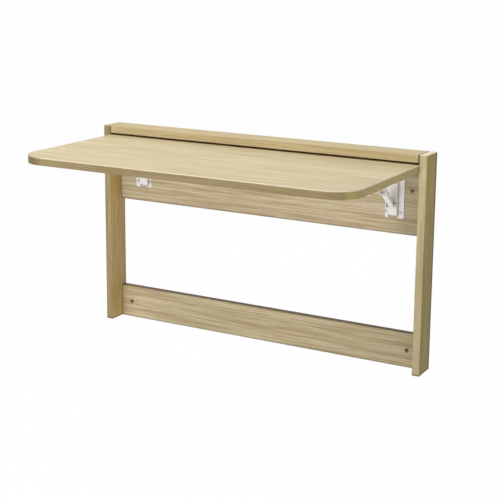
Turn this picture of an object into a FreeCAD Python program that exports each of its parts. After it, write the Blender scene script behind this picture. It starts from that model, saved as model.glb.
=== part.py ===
"""Wall-mounted folding table: a shallow board frame, a drop leaf and two folding steel brackets.

Millimetres. +X runs to the right along the wall, +Y into the wall and +Z up. The origin is the
centre of the four wall-screw holes, on the wall plane. The leaf is modelled open and level.
"""
import FreeCAD, Part
import math
import os
import re

import Sketcher

os.makedirs("parts", exist_ok=True)
doc = FreeCAD.newDocument("folding_table")

# Driving sizes, in millimetres
SIZES = {
    # Frame boards
    "frame_width": 835.0,
    "frame_height": 490.0,
    "frame_depth": 60.0,
    "board": 17.0,
    "back_rail_height": 170.0,
    "bottom_rail_height": 79.0,
    # Wall-screw holes
    "wall_hole_inset": 30.0,
    "upper_hole_rise": 100.0,
    "wall_hole_radius": 2.75,
    "wall_sink_radius": 5.0,
    "wall_sink_depth": 3.0,
    # Leaf
    "leaf_side_gap": 0.5,
    "leaf_depth": 390.0,
    "leaf_board": 17.0,
    "leaf_corner_radius": 60.0,
    "edge_band": 1.0,
    "leaf_top_gap": 5.0,
    "leaf_rear_gap": 1.0,
    "edge_ease": 0.4,
    # Knock-down fittings
    "dowel_radius": 4.0,
    "dowel_in_post": 11.0,
    "dowel_in_rail": 24.0,
    "bore_end_room": 1.0,
    "cam_radius": 7.5,
    "cam_depth": 12.5,
    "cam_centre": 33.0,
    "cam_bolt_radius": 3.0,
    "cam_bolt_bore": 4.0,
    "cam_head_radius": 3.6,
    "cam_head_bore": 4.2,
    "cam_bolt_in_post": 11.0,
    "cam_slot": 1.6,
    "fitting_room": 0.1,
    "rail_fitting_inset": 25.0,
    "bottom_fitting_inset": 22.0,
    "cap_dowel_inset": 10.0,
    # Brackets: pressed sheet steel
    "bracket_inset": 73.0,
    "steel": 1.5,
    "bend_radius": 1.4,
    "flange_corner": 3.0,
    # Wall leg: a hat section, its wider flange on the outer side
    "leg_height": 110.0,
    "leg_top_gap": 3.0,
    "leg_half_width": 11.5,
    "leg_web_rise": 9.0,
    "outer_flange": 13.5,
    "inner_flange": 7.5,
    # Shelf arm: a channel outside the wall leg
    "arm_front": 154.0,
    "arm_rear": 8.0,
    "arm_wall_depth": 20.0,
    "arm_nose_depth": 16.0,
    # Pivots of the folding brace
    "pivot_drop": 12.0,
    "pivot_reach": 13.0,
    "top_pin_run": 96.0,
    "top_pin_rise": 6.2,
    "foot_pin_rise": 31.25,
    "hinge_eye": 8.0,
    "foot_eye": 6.0,
    "brace_eye": 4.0,
    "fork_half_gap": 7.0,
    "fork_half_width": 3.5,
    "fork_web_start": 6.5,
    "fork_web_end": 14.0,
    "link_room": 0.5,
    "fold_room": 0.3,
    # Pins and bushes
    "hinge_pin_radius": 3.0,
    "brace_pin_radius": 2.0,
    "pin_room": 0.05,
    "hinge_head_radius": 4.4,
    "brace_head_radius": 3.6,
    "pin_head_height": 1.2,
    "head_room": 0.4,
    "bush_wall": 1.2,
    "bush_room": 0.15,
    # Release lever
    "lever_pin_run": 122.0,
    "lever_pin_rise": 1.0,
    "lever_pin_radius": 2.0,
    "lever_eye": 5.0,
    "lever_half_width": 3.6,
    "lever_tab_reach": 20.0,
    "lever_tab_drop": 37.0,
    "lever_tab_half_width": 8.0,
    "lever_tab_height": 15.0,
    "spring_wire": 0.9,
    # Wood screws
    "screw_radius": 1.7,
    "screw_head_radius": 3.5,
    "screw_head_height": 2.0,
    "screw_length": 13.0,
    "screw_hole_radius": 2.2,
    "leg_screw_end": 14.0,
    "arm_screw_end": 12.0,
    "toe_screw_run": 16.0,
    # Cutting allowance of every pocket
    "overrun": 2.0,
}

# A rivet head narrows to this share of its radius, a screw head to the next
RIVET_CROWN_SHARE = 0.6
SCREW_CROWN_SHARE = 0.75

# Sizes that follow from the driving ones
DERIVED = {
    "half_width": "(frame_width / 2)",
    "inner_half": "(frame_width / 2 - board)",
    "lower_hole": "(bottom_rail_height / 2)",
    "upper_hole": "(frame_height - board - back_rail_height + upper_hole_rise)",
    "hole_x": "(inner_half - wall_hole_inset)",
    "floor_z": "(-(lower_hole + upper_hole) / 2)",
    "top_z": "(floor_z + frame_height)",
    "cap_under": "(top_z - board)",
    "cap_middle": "(top_z - board / 2)",
    "back_rail_foot": "(cap_under - back_rail_height)",
    "leaf_half": "(inner_half - leaf_side_gap)",
    "leaf_top": "(cap_under - leaf_top_gap)",
    "leaf_under": "(leaf_top - leaf_board)",
    "leaf_rear": "(-board - leaf_rear_gap)",
    "leaf_front": "(leaf_rear - leaf_depth)",
    "bracket_x": "(inner_half - bracket_inset)",
    "leg_top": "(leaf_under - leg_top_gap)",
    "leg_foot": "(leg_top - leg_height)",
    "web_front": "(-board - leg_web_rise)",
    "pivot_y": "(-board - pivot_reach)",
    "pivot_z": "(leaf_under - pivot_drop)",
    "arm_half_gap": "(leg_half_width + pin_head_height + head_room)",
    "arm_half_width": "(arm_half_gap + steel)",
    "link_half_width": "(fork_half_gap - link_room)",
    "fork_half_reach": "(fork_half_gap + steel)",
    "toe_y": "(pivot_y - top_pin_run)",
    "toe_z": "(pivot_z + top_pin_rise)",
    # Folded, the fork stands upright and just clears the foot pin behind it
    "fold_offset": "(fork_half_width + brace_pin_radius + fold_room)",
    "foot_y": "(pivot_y - top_pin_rise + fold_offset)",
    "foot_z": "(leg_foot + foot_pin_rise)",
    "fold_step": "(foot_z - pivot_z + top_pin_run)",
    "brace_run": "(foot_y - toe_y)",
    "brace_rise": "(toe_z - foot_z)",
    "brace_length": "sqrt(brace_run ^ 2 + brace_rise ^ 2)",
    "brace_angle": "atan2(brace_rise; brace_run)",
    "fold_slack": "(brace_length - fold_step)",
    "fork_length": "((brace_length ^ 2 - fold_step ^ 2 - fold_offset ^ 2) / (2 * fold_slack))",
    "link_length": "(brace_length - fork_length)",
    "middle_y": "(toe_y + fork_length * cos(brace_angle))",
    "middle_z": "(toe_z - fork_length * sin(brace_angle))",
    "lever_y": "(pivot_y - lever_pin_run)",
    "lever_z": "(pivot_z + lever_pin_rise)",
    "tab_y": "(lever_y - lever_tab_reach)",
    "tab_low": "(leaf_under - lever_tab_drop)",
}

sheet = doc.addObject("Spreadsheet::Sheet", "sizes")
for row, (alias, size) in enumerate(SIZES.items(), start=1):
    sheet.set(f"A{row}", alias)
    sheet.set(f"B{row}", str(size))
    sheet.setAlias(f"B{row}", alias)
doc.recompute()

NAME = r"[a-z_]{3,}"


def formula(text):
    """Write a formula of size names as a FreeCAD expression on the spreadsheet."""
    text = str(text)
    while True:
        longer = re.sub(NAME, lambda word: DERIVED.get(word.group(), word.group()), text)
        if longer == text:
            break
        text = longer
    return re.sub(NAME, lambda word: "sizes." * (word.group() in SIZES) + word.group(), text)


def bind(thing, **formulas):
    """Bind properties to formulas; a double underscore in a name stands for a dot."""
    for name, text in formulas.items():
        thing.setExpression(name.replace("__", "."), formula(text))
    return thing


def place(thing, x=0, y=0, z=0):
    """Put a thing at a place worked out from the sizes."""
    return bind(thing, Placement__Base__x=x, Placement__Base__y=y, Placement__Base__z=z)


# Sketch-based bodies
def new_body(name):
    return doc.addObject("PartDesign::Body", name)


def new_sketch(body, plane, offset=0):
    """A sketch on one of the body's own origin planes, moved along the plane's normal."""
    sketch = body.newObject("Sketcher::SketchObject", body.Name + "_sketch")
    feature = [item for item in body.Origin.OriginFeatures if item.Role == plane + "_Plane"][0]
    sketch.AttachmentSupport = (feature, [""])
    sketch.MapMode = "FlatFace"
    bind(sketch, AttachmentOffset__Base__z=offset)
    return sketch


def pin_down(sketch, geometry, vertex, x, y):
    """Fix one vertex of a sketch by its two coordinates."""
    for kind, text in (("DistanceX", x), ("DistanceY", y)):
        index = sketch.addConstraint(Sketcher.Constraint(kind, -1, 1, geometry, vertex, 1.0))
        sketch.setExpression(f"Constraints[{index}]", formula(text))


def draw_polygon(sketch, points):
    """A closed outline through points given as pairs of formulas."""
    count = len(points)
    first = len(sketch.Geometry)
    for step in range(count):
        turn = 2 * math.pi * step / count
        after = 2 * math.pi * (step + 1) / count
        start = FreeCAD.Vector(math.cos(turn), math.sin(turn), 0)
        end = FreeCAD.Vector(math.cos(after), math.sin(after), 0)
        sketch.addGeometry(Part.LineSegment(start, end))
    for step in range(count):
        follower = first + (step + 1) % count
        sketch.addConstraint(Sketcher.Constraint("Coincident", first + step, 2, follower, 1))
    for step, (x, y) in enumerate(points):
        pin_down(sketch, first + step, 1, x, y)


def draw_circles(sketch, circles):
    """Circles given as (x, y, radius) formulas."""
    for x, y, radius in circles:
        circle = Part.Circle(FreeCAD.Vector(0, 0, 0), FreeCAD.Vector(0, 0, 1), 1.0)
        index = sketch.addGeometry(circle)
        pin_down(sketch, index, 3, x, y)
        size = sketch.addConstraint(Sketcher.Constraint("Radius", index, 1.0))
        sketch.setExpression(f"Constraints[{size}]", formula(radius))


def extrude(kind, body, sketch, length, midplane, reverse):
    """A Pad or Pocket of a sketch."""
    feature = body.newObject("PartDesign::" + kind, body.Name + "_" + kind.lower())
    feature.Profile = sketch
    bind(feature, Length=length)
    feature.Midplane = midplane
    feature.Reversed = reverse
    return feature


def pad_polygon(body, plane, points, length, offset=0, midplane=False, reverse=False):
    sketch = new_sketch(body, plane, offset)
    draw_polygon(sketch, points)
    return extrude("Pad", body, sketch, length, midplane, reverse)


def pad_circles(body, plane, circles, length, offset=0, midplane=False, reverse=False):
    sketch = new_sketch(body, plane, offset)
    draw_circles(sketch, circles)
    return extrude("Pad", body, sketch, length, midplane, reverse)


def cut_polygon(body, plane, points, length, offset=0, midplane=False, reverse=False):
    sketch = new_sketch(body, plane, offset)
    draw_polygon(sketch, points)
    return extrude("Pocket", body, sketch, length, midplane, reverse)


def cut_circles(body, plane, circles, length, offset=0, midplane=False, reverse=False):
    sketch = new_sketch(body, plane, offset)
    draw_circles(sketch, circles)
    return extrude("Pocket", body, sketch, length, midplane, reverse)


def rectangle(x_low, x_high, y_low, y_high):
    return [(x_low, y_low), (x_high, y_low), (x_high, y_high), (x_low, y_high)]


X_AXIS = FreeCAD.Vector(1, 0, 0)
Y_AXIS = FreeCAD.Vector(0, 1, 0)
Z_AXIS = FreeCAD.Vector(0, 0, 1)


def edges_along(feature, axis, wanted):
    """Names of the straight edges along an axis whose middle passes a test."""
    names = []
    for number, edge in enumerate(feature.Shape.Edges, start=1):
        if len(edge.Vertexes) != 2 or not isinstance(edge.Curve, Part.Line):
            continue
        way = edge.Vertexes[1].Point - edge.Vertexes[0].Point
        if way.cross(axis).Length < Part.Precision.confusion() and wanted(edge.CenterOfMass):
            names.append(f"Edge{number}")
    return names


def near(first, second):
    return math.isclose(first, second, abs_tol=Part.Precision.confusion())


def fillet(body, base, names, radius):
    """Round named edges of a body's last feature."""
    feature = body.newObject("PartDesign::Fillet", body.Name + "_fillet")
    feature.Base = (base, names)
    return bind(feature, Radius=radius)


# Round primitives along the axes
TURNS = {
    "X": FreeCAD.Rotation(Y_AXIS, 90),
    "-X": FreeCAD.Rotation(Y_AXIS, -90),
    "Y": FreeCAD.Rotation(X_AXIS, -90),
    "-Y": FreeCAD.Rotation(X_AXIS, 90),
    "Z": FreeCAD.Rotation(),
    "-Z": FreeCAD.Rotation(X_AXIS, 180),
}


def cylinder(name, radius, length, x, y, z, axis):
    """A cylinder that starts at a point."""
    thing = doc.addObject("Part::Cylinder", name)
    thing.Placement = FreeCAD.Placement(FreeCAD.Vector(), TURNS[axis])
    bind(thing, Radius=radius, Height=length)
    return place(thing, x, y, z)


def crowned_head(name, radius, share, height, x, y, z, axis):
    """A fastener's head: a cone frustum that narrows away from what it lies on."""
    thing = doc.addObject("Part::Cone", name)
    thing.Placement = FreeCAD.Placement(FreeCAD.Vector(), TURNS[axis])
    bind(thing, Radius1=radius, Radius2=f"{share} * {radius}", Height=height)
    return place(thing, x, y, z)


def joined(kind, name, base, tool):
    thing = doc.addObject("Part::" + kind, name)
    thing.Base = base
    thing.Tool = tool
    return thing


def compound(name, links):
    thing = doc.addObject("Part::Compound", name)
    thing.Links = links
    return thing


SIDES = (("left", "-1"), ("right", "1"))
PARTS = []


def keep(thing, label):
    """Make a finished thing a sub-part with its own node name."""
    thing.Label = label
    PARTS.append(thing)
    return thing


# Places of the knock-down fittings: height or depth of each, on both ends of its board
RAIL_CAMS = (
    "back_rail_foot + rail_fitting_inset",
    "cap_under - rail_fitting_inset",
    "floor_z + bottom_rail_height - bottom_fitting_inset",
)
RAIL_DOWELS = (
    "back_rail_foot + back_rail_height / 2",
    "floor_z + bottom_fitting_inset",
)
CAP_DOWELS = ("-cap_dowel_inset", "-frame_depth + cap_dowel_inset")
CAP_CAM = "-frame_depth / 2"
RAIL_MIDDLE = "-board / 2"


def post(side, way):
    """A side post: a board on edge, bored inside for dowels and cam bolts."""
    body = new_body(side + "_post")
    faces = rectangle(f"{way} * inner_half", f"{way} * half_width", "-frame_depth", "0")
    base = pad_polygon(body, "XY", faces, "frame_height", "floor_z")
    doc.recompute()
    front = edges_along(base, Z_AXIS, lambda middle: near(middle.y, -sheet.frame_depth))
    fillet(body, base, front, "edge_ease")
    bores = [(RAIL_MIDDLE, height, "dowel_radius + pin_room") for height in RAIL_DOWELS]
    bores += [(depth, "cap_middle", "dowel_radius + pin_room") for depth in CAP_DOWELS]
    bores += [(RAIL_MIDDLE, height, "cam_bolt_radius + pin_room") for height in RAIL_CAMS]
    bores += [(CAP_CAM, "cap_middle", "cam_bolt_radius + pin_room")]
    depth = "dowel_in_post + bore_end_room"
    cut_circles(body, "YZ", bores, depth, f"{way} * inner_half", reverse=side == "right")
    keep(body, side + "_post")


def end_bores(body, dowel_spots, bolt_spots):
    """End bores of a board between the posts, for its dowels and cam bolts."""
    for side, way in SIDES:
        dowel_bores = [(y, z, "dowel_radius + pin_room") for y, z in dowel_spots]
        bolt_bores = [(y, z, "cam_bolt_bore") for y, z in bolt_spots]
        inner = f"{way} * inner_half"
        cut_circles(body, "YZ", dowel_bores, "dowel_in_rail + bore_end_room", inner, reverse=side == "left")
        cut_circles(body, "YZ", bolt_bores, "cam_centre", inner, reverse=side == "left")


def cam_circles(spots):
    """Cam bores near both ends of a board, at heights or depths."""
    return [(f"{way} * (inner_half - cam_centre)", spot, "cam_radius + fitting_room")
            for side, way in SIDES for spot in spots]


def wall_holes(body, height):
    """Two through holes for the wall screws, counterbored at the front."""
    holes = [(f"{way} * hole_x", height, "wall_hole_radius") for side, way in SIDES]
    cut_circles(body, "XZ", holes, "board + overrun", reverse=True)
    sinks = [(x, z, "wall_sink_radius") for x, z, radius in holes]
    cut_circles(body, "XZ", sinks, "wall_sink_depth", "board")


def back_rail():
    """The upper rail, which carries the brackets and the upper wall screws."""
    body = new_body("back_rail")
    outline = rectangle("-inner_half", "inner_half", "back_rail_foot", "cap_under")
    pad_polygon(body, "XZ", outline, "board")
    end_bores(body, [(RAIL_MIDDLE, RAIL_DOWELS[0])], [(RAIL_MIDDLE, height) for height in RAIL_CAMS[:2]])
    cut_circles(body, "XZ", cam_circles(RAIL_CAMS[:2]), "cam_depth + fitting_room", reverse=True)
    wall_holes(body, "floor_z + upper_hole")
    pilots = [(f"{way} * (bracket_x + {x})", z, "screw_radius + pin_room")
              for side, way in SIDES for x, z in LEG_SCREWS]
    cut_circles(body, "XZ", pilots, "screw_length - steel + bore_end_room", "board")
    keep(body, "back_rail")


def bottom_rail():
    """The lower rail, with the two lower wall-screw holes."""
    body = new_body("bottom_rail")
    outline = rectangle("-inner_half", "inner_half", "floor_z", "floor_z + bottom_rail_height")
    pad_polygon(body, "XZ", outline, "board")
    end_bores(body, [(RAIL_MIDDLE, RAIL_DOWELS[1])], [(RAIL_MIDDLE, RAIL_CAMS[2])])
    cut_circles(body, "XZ", cam_circles(RAIL_CAMS[2:]), "cam_depth + fitting_room", reverse=True)
    wall_holes(body, "floor_z + lower_hole")
    keep(body, "bottom_rail")


def cap_board():
    """The top board between the posts, over the leaf's rear edge."""
    body = new_body("cap_board")
    outline = rectangle("-inner_half", "inner_half", "-frame_depth", "0")
    base = pad_polygon(body, "XY", outline, "board", "cap_under")
    doc.recompute()
    front = edges_along(base, X_AXIS, lambda middle: near(middle.y, -sheet.frame_depth))
    fillet(body, base, front, "edge_ease")
    end_bores(body, [(depth, "cap_middle") for depth in CAP_DOWELS], [(CAP_CAM, "cap_middle")])
    cut_circles(body, "XY", cam_circles([CAP_CAM]), "cam_depth + fitting_room", "cap_under", reverse=True)
    keep(body, "cap_board")


def across_joint(side, inward, outward):
    """Left end of a piece that reaches inward and outward from a post's inner face."""
    if side == "right":
        return f"inner_half - ({inward})"
    return f"-inner_half - ({outward})"


def dowels():
    """Beech dowels across every joint between a post and a board."""
    spots = [(RAIL_MIDDLE, height) for height in RAIL_DOWELS]
    spots += [(depth, "cap_middle") for depth in CAP_DOWELS]
    pins = []
    length = "dowel_in_rail + dowel_in_post"
    for side, way in SIDES:
        start = across_joint(side, "dowel_in_rail", "dowel_in_post")
        pins += [cylinder("dowel", "dowel_radius", length, start, y, z, "X") for y, z in spots]
    keep(compound("dowels", pins), "dowels")


def cam_bolt(side, y, z):
    """One cam bolt: its shank in the post and its head inside the cam."""
    start = across_joint(side, "cam_centre", "cam_bolt_in_post")
    shank = cylinder("cam_bolt_shank", "cam_bolt_radius", "cam_centre + cam_bolt_in_post", start, y, z, "X")
    head_start = across_joint(side, "cam_centre", "cam_head_radius - cam_centre")
    head = cylinder("cam_bolt_head", "cam_head_radius", "cam_head_radius", head_start, y, z, "X")
    return joined("Fuse", "cam_bolt", shank, head)


def cam_lock(side, way, y, z, axis):
    """One cam: a round nut with a side bore for the bolt's head and a screwdriver slot."""
    centre = f"{way} * (inner_half - cam_centre)"
    if axis == "Y":
        disc_y, disc_z = "-cam_depth", z
        slot_y, slot_z = "-cam_slot", f"{z} - cam_slot / 2"
    else:
        disc_y, disc_z = y, "cap_under"
        slot_y, slot_z = f"{y} - cam_slot / 2", "cap_under"
    disc = cylinder("cam_disc", "cam_radius", "cam_depth", centre, disc_y, disc_z, axis)
    slot = doc.addObject("Part::Box", "cam_slot_cut")
    bind(slot, Length="cam_radius", Width="cam_slot", Height="cam_slot")
    place(slot, f"{centre} - cam_radius / 2", slot_y, slot_z)
    slotted = joined("Cut", "cam_slotted", disc, slot)
    inward = "cam_centre + cam_head_radius + fitting_room"
    outward = "cam_radius + overrun - cam_centre"
    start = across_joint(side, inward, outward)
    bore = cylinder("cam_bore", "cam_head_bore", f"{inward} + {outward}", start, y, z, "X")
    return joined("Cut", "cam_lock", slotted, bore)


def knock_down_fittings():
    """Cam locks in the rails and the cap, with their bolts in the posts."""
    bolts = []
    cams = []
    for side, way in SIDES:
        for height in RAIL_CAMS:
            bolts.append(cam_bolt(side, RAIL_MIDDLE, height))
            cams.append(cam_lock(side, way, RAIL_MIDDLE, height, "Y"))
        bolts.append(cam_bolt(side, CAP_CAM, "cap_middle"))
        cams.append(cam_lock(side, way, CAP_CAM, "cap_middle", "Z"))
    keep(compound("cam_bolts", bolts), "cam_bolts")
    keep(compound("cam_locks", cams), "cam_locks")


def leaf_slab(name, inset):
    """The leaf's outline with its two rounded front corners, drawn in by an inset."""
    body = new_body(name)
    half = f"(leaf_half - {inset})"
    outline = rectangle(f"-{half}", half, f"leaf_front + {inset}", f"leaf_rear - {inset}")
    base = pad_polygon(body, "XY", outline, "leaf_board", "leaf_under")
    doc.recompute()
    corners = edges_along(base, Z_AXIS, lambda middle: middle.y < -sheet.leaf_depth / 2)
    fillet(body, base, corners, f"leaf_corner_radius - {inset}")
    return body


def leaf():
    """The drop leaf: a core board inside a thin edge band."""
    whole = leaf_slab("leaf_outline", "0")
    core_form = leaf_slab("leaf_core_form", "edge_band")
    keep(joined("Cut", "leaf_edge_band", whole, core_form), "leaf_edge_band")
    body = leaf_slab("leaf_panel", "edge_band")
    pilots = [(f"{way} * (bracket_x + {x})", y, "screw_radius + pin_room")
              for side, way in SIDES for x, y in ARM_SCREWS]
    cut_circles(body, "XY", pilots, "screw_length - steel + bore_end_room", "leaf_under", reverse=True)
    keep(body, "leaf_panel")


# Screw places about a bracket's own centre line: two up each flange of the leg, four along the arm
LEG_SCREWS = [
    (x, z)
    for x in ("leg_half_width + outer_flange / 2", "-(leg_half_width + inner_flange / 2)")
    for z in ("leg_foot + leg_screw_end", "leg_top - leg_screw_end - hinge_eye")
]
ARM_SCREWS = [
    ("0", "pivot_y - arm_screw_end"),
    ("0", "toe_y + toe_screw_run"),
    ("0", "toe_y - toe_screw_run"),
    ("0", "pivot_y - arm_front + arm_screw_end"),
]


def lug(body, y, z, eye, start):
    """A forward lug of one cheek of the wall leg, round a pin."""
    root = "(web_front + steel)"
    gusset = [(root, f"{z} - 2 * {eye}"), (y, f"{z} - {eye}"), (y, f"{z} + {eye}"), (root, f"{z} + {eye}")]
    pad_polygon(body, "YZ", gusset, "steel", start)
    pad_circles(body, "YZ", [(y, z, eye)], "steel", start)


def wall_leg(side, way):
    """A wall leg: a hat section on the rail, with lugs for the hinge and foot pins."""
    body = new_body(side + "_wall_leg")
    half = "leg_half_width"
    inside = "(leg_half_width - steel)"
    face = "(-board)"
    skin = "(-board - steel)"
    web_back = "(web_front + steel)"
    outer = "(leg_half_width + outer_flange)"
    inner = "(leg_half_width + inner_flange)"
    section = [
        (f"-{inner}", face), (f"-{inside}", face), (f"-{inside}", web_back),
        (inside, web_back), (inside, face), (outer, face),
        (outer, skin), (half, skin), (half, "web_front"),
        (f"-{half}", "web_front"), (f"-{half}", skin), (f"-{inner}", skin),
    ]
    mirrored = [(f"{way} * ({x})", y) for x, y in section]
    base = pad_polygon(body, "XY", mirrored, "leg_height", "leg_foot")
    doc.recompute()
    web_front = -sheet.board - sheet.leg_web_rise
    bends = edges_along(base, Z_AXIS, lambda middle: near(middle.y, web_front))
    rounded = fillet(body, base, bends, "bend_radius")
    doc.recompute()
    inner_edge = sheet.leg_half_width + sheet.inner_flange
    corners = edges_along(rounded, Y_AXIS, lambda middle: abs(middle.x) > inner_edge - sheet.bend_radius)
    fillet(body, rounded, corners, "flange_corner")
    # The foot is cut off at a slant
    ahead = "web_front - overrun"
    below = "leg_foot - overrun"
    slant_top = "leg_foot + leg_web_rise"
    foot = [(skin, below), (skin, "leg_foot"), ("web_front", slant_top), (ahead, slant_top), (ahead, below)]
    cut_polygon(body, "YZ", foot, f"2 * {half} + overrun", midplane=True)
    for start in (inside, f"-{half}"):
        lug(body, "pivot_y", "pivot_z", "hinge_eye", start)
        lug(body, "foot_y", "foot_z", "foot_eye", start)
    pins = [
        ("pivot_y", "pivot_z", "hinge_pin_radius + pin_room"),
        ("foot_y", "foot_z", "brace_pin_radius + pin_room"),
    ]
    cut_circles(body, "YZ", pins, f"2 * {half} + overrun", midplane=True)
    holes = [(f"{way} * ({x})", z, "screw_hole_radius") for x, z in LEG_SCREWS]
    cut_circles(body, "XZ", holes, "steel + overrun", "board - overrun / 2", reverse=True)
    place(body, f"{way} * bracket_x")
    keep(body, side + "_wall_leg")


def shelf_arm(side, way):
    """A shelf arm: a channel under the leaf whose walls stand outside the wall leg."""
    body = new_body(side + "_shelf_arm")
    top = "leaf_under"
    skin = "(leaf_under - steel)"
    lip = "(leaf_under - arm_wall_depth)"
    nose_lip = "(leaf_under - arm_nose_depth)"
    section = [
        ("-arm_half_width", top), ("-arm_half_width", lip), ("-arm_half_gap", lip), ("-arm_half_gap", skin),
        ("arm_half_gap", skin), ("arm_half_gap", lip), ("arm_half_width", lip), ("arm_half_width", top),
    ]
    base = pad_polygon(body, "XZ", section, "arm_front + arm_rear", "-(pivot_y + arm_rear)")
    doc.recompute()
    bends = edges_along(base, Y_AXIS, lambda middle: near(middle.z, base.Shape.BoundBox.ZMax))
    fillet(body, base, bends, "bend_radius")
    front = "(pivot_y - arm_front)"
    ahead = f"{front} - overrun"
    below = f"{lip} - overrun"
    taper_start = "pivot_y - hinge_eye"
    nose = [(taper_start, below), (taper_start, lip), (front, nose_lip), (ahead, nose_lip), (ahead, below)]
    cut_polygon(body, "YZ", nose, "2 * arm_half_width + overrun", midplane=True)
    rear = rectangle("pivot_y", "pivot_y + arm_rear + overrun", below, "pivot_z")
    cut_polygon(body, "YZ", rear, "2 * arm_half_width + overrun", midplane=True)
    for start in ("arm_half_gap", "-arm_half_width"):
        pad_circles(body, "YZ", [("pivot_y", "pivot_z", "hinge_eye")], "steel", start)
    pins = [
        ("pivot_y", "pivot_z", "hinge_pin_radius + pin_room"),
        ("toe_y", "toe_z", "brace_pin_radius + pin_room"),
        ("lever_y", "lever_z", "lever_pin_radius + pin_room"),
    ]
    cut_circles(body, "YZ", pins, "2 * arm_half_width + overrun", midplane=True)
    holes = [(x, y, "screw_hole_radius") for x, y in ARM_SCREWS]
    cut_circles(body, "XY", holes, "steel + overrun", "leaf_under - steel - overrun / 2", reverse=True)
    place(body, f"{way} * bracket_x")
    keep(body, side + "_shelf_arm")


def turn_about_x(body, angle):
    """Turn a body about X by a formula; the first turn only gives the placement its axis."""
    body.Placement = FreeCAD.Placement(FreeCAD.Vector(), FreeCAD.Rotation(X_AXIS, 1))
    bind(body, Placement__Rotation__Angle=angle)


def brace_fork(side, way):
    """The upper half of a brace: two parallel flat bars on the toe pin, tied by one cross web."""
    body = new_body(side + "_brace_fork")
    tip = "-fork_length"
    ends = ("0", tip)
    bar = rectangle(tip, "0", "-fork_half_width", "fork_half_width")
    for start in ("fork_half_gap", "-fork_half_reach"):
        pad_polygon(body, "YZ", bar, "steel", start)
        for end in ends:
            pad_circles(body, "YZ", [(end, "0", "brace_eye")], "steel", start)
    web = rectangle(f"{tip} + fork_web_start", f"{tip} + fork_web_end", "-steel / 2", "steel / 2")
    pad_polygon(body, "YZ", web, "2 * fork_half_gap + steel", midplane=True)
    holes = [(end, "0", "brace_pin_radius + pin_room") for end in ends]
    cut_circles(body, "YZ", holes, "2 * fork_half_reach + overrun", midplane=True)
    turn_about_x(body, "-brace_angle")
    place(body, f"{way} * bracket_x", "middle_y", "middle_z")
    keep(body, side + "_brace_fork")


def brace_link(side, way):
    """The lower half of a brace: a channel on the foot pin, between the fork's bars."""
    body = new_body(side + "_brace_link")
    ends = ("0", "-link_length")
    out = "link_half_width"
    inside = "(link_half_width - steel)"
    deep = "brace_eye"
    skin = f"-{deep} + steel"
    section = [
        (f"-{out}", f"-{deep}"), (out, f"-{deep}"), (out, deep), (inside, deep),
        (inside, skin), (f"-{inside}", skin), (f"-{inside}", deep), (f"-{out}", deep),
    ]
    base = pad_polygon(body, "XZ", section, "link_length")
    doc.recompute()
    bends = edges_along(base, Y_AXIS, lambda middle: near(middle.z, -sheet.brace_eye))
    fillet(body, base, bends, "bend_radius")
    for start in (inside, f"-{out}"):
        for end in ends:
            pad_circles(body, "YZ", [(end, "0", deep)], "steel", start)
    holes = [(end, "0", "brace_pin_radius + pin_room") for end in ends]
    cut_circles(body, "YZ", holes, f"2 * {out} + overrun", midplane=True)
    turn_about_x(body, "-brace_angle")
    place(body, f"{way} * bracket_x", "foot_y", "foot_z")
    keep(body, side + "_brace_link")


def rivet(name, half_length, radius, head_radius, x, y, z):
    """A rivet on the bracket's centre line with a crowned head at each end."""
    thing = cylinder(name + "_shank", radius, f"2 * {half_length}", f"{x} - {half_length}", y, z, "X")
    for axis, sign in (("X", "+"), ("-X", "-")):
        head = crowned_head(name + "_head", head_radius, RIVET_CROWN_SHARE, "pin_head_height",
                            f"{x} {sign} {half_length}", y, z, axis)
        thing = joined("Fuse", name + "_riveted", thing, head)
    return thing


def ring(name, bore, wall, low, high, x, y, z):
    """A plain bush or washer on a pin, between two distances from the bracket's centre line."""
    length = f"({high}) - ({low})"
    rim = cylinder(name + "_rim", f"{bore} + {wall}", length, f"{x} + ({low})", y, z, "X")
    hole = cylinder(name + "_bore", bore, length, f"{x} + ({low})", y, z, "X")
    return joined("Cut", name, rim, hole)


def ring_pair(name, pin_radius, wall, low, high, x, y, z):
    """Two equal rings on a pin, one each side of the bracket's centre line."""
    bore = f"({pin_radius} + pin_room)"
    near_side = f"{low} + bush_room"
    far_side = f"{high} - bush_room"
    rings = [ring(name + "_a", bore, wall, near_side, far_side, x, y, z),
             ring(name + "_b", bore, wall, f"-({far_side})", f"-({near_side})", x, y, z)]
    return keep(compound(name, rings), name)


def bracket_pins(side, way):
    """The pins of a bracket with their washers and bushes."""
    x = f"{way} * bracket_x"
    hinge_sizes = ("hinge_pin_radius", "hinge_head_radius")
    brace_sizes = ("brace_pin_radius", "brace_head_radius")
    hinge = rivet(side + "_hinge_pin", "arm_half_width", *hinge_sizes, x, "pivot_y", "pivot_z")
    keep(hinge, side + "_hinge_pin")
    toe = rivet(side + "_toe_pin", "arm_half_width", *brace_sizes, x, "toe_y", "toe_z")
    keep(toe, side + "_toe_pin")
    foot = rivet(side + "_foot_pin", "leg_half_width", *brace_sizes, x, "foot_y", "foot_z")
    keep(foot, side + "_foot_pin")
    ring_pair(side + "_hinge_washers", "hinge_pin_radius", "2 * bush_wall",
              "leg_half_width", "arm_half_gap", x, "pivot_y", "pivot_z")
    ring_pair(side + "_toe_bushes", "brace_pin_radius", "bush_wall",
              "fork_half_reach", "arm_half_gap", x, "toe_y", "toe_z")


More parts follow.
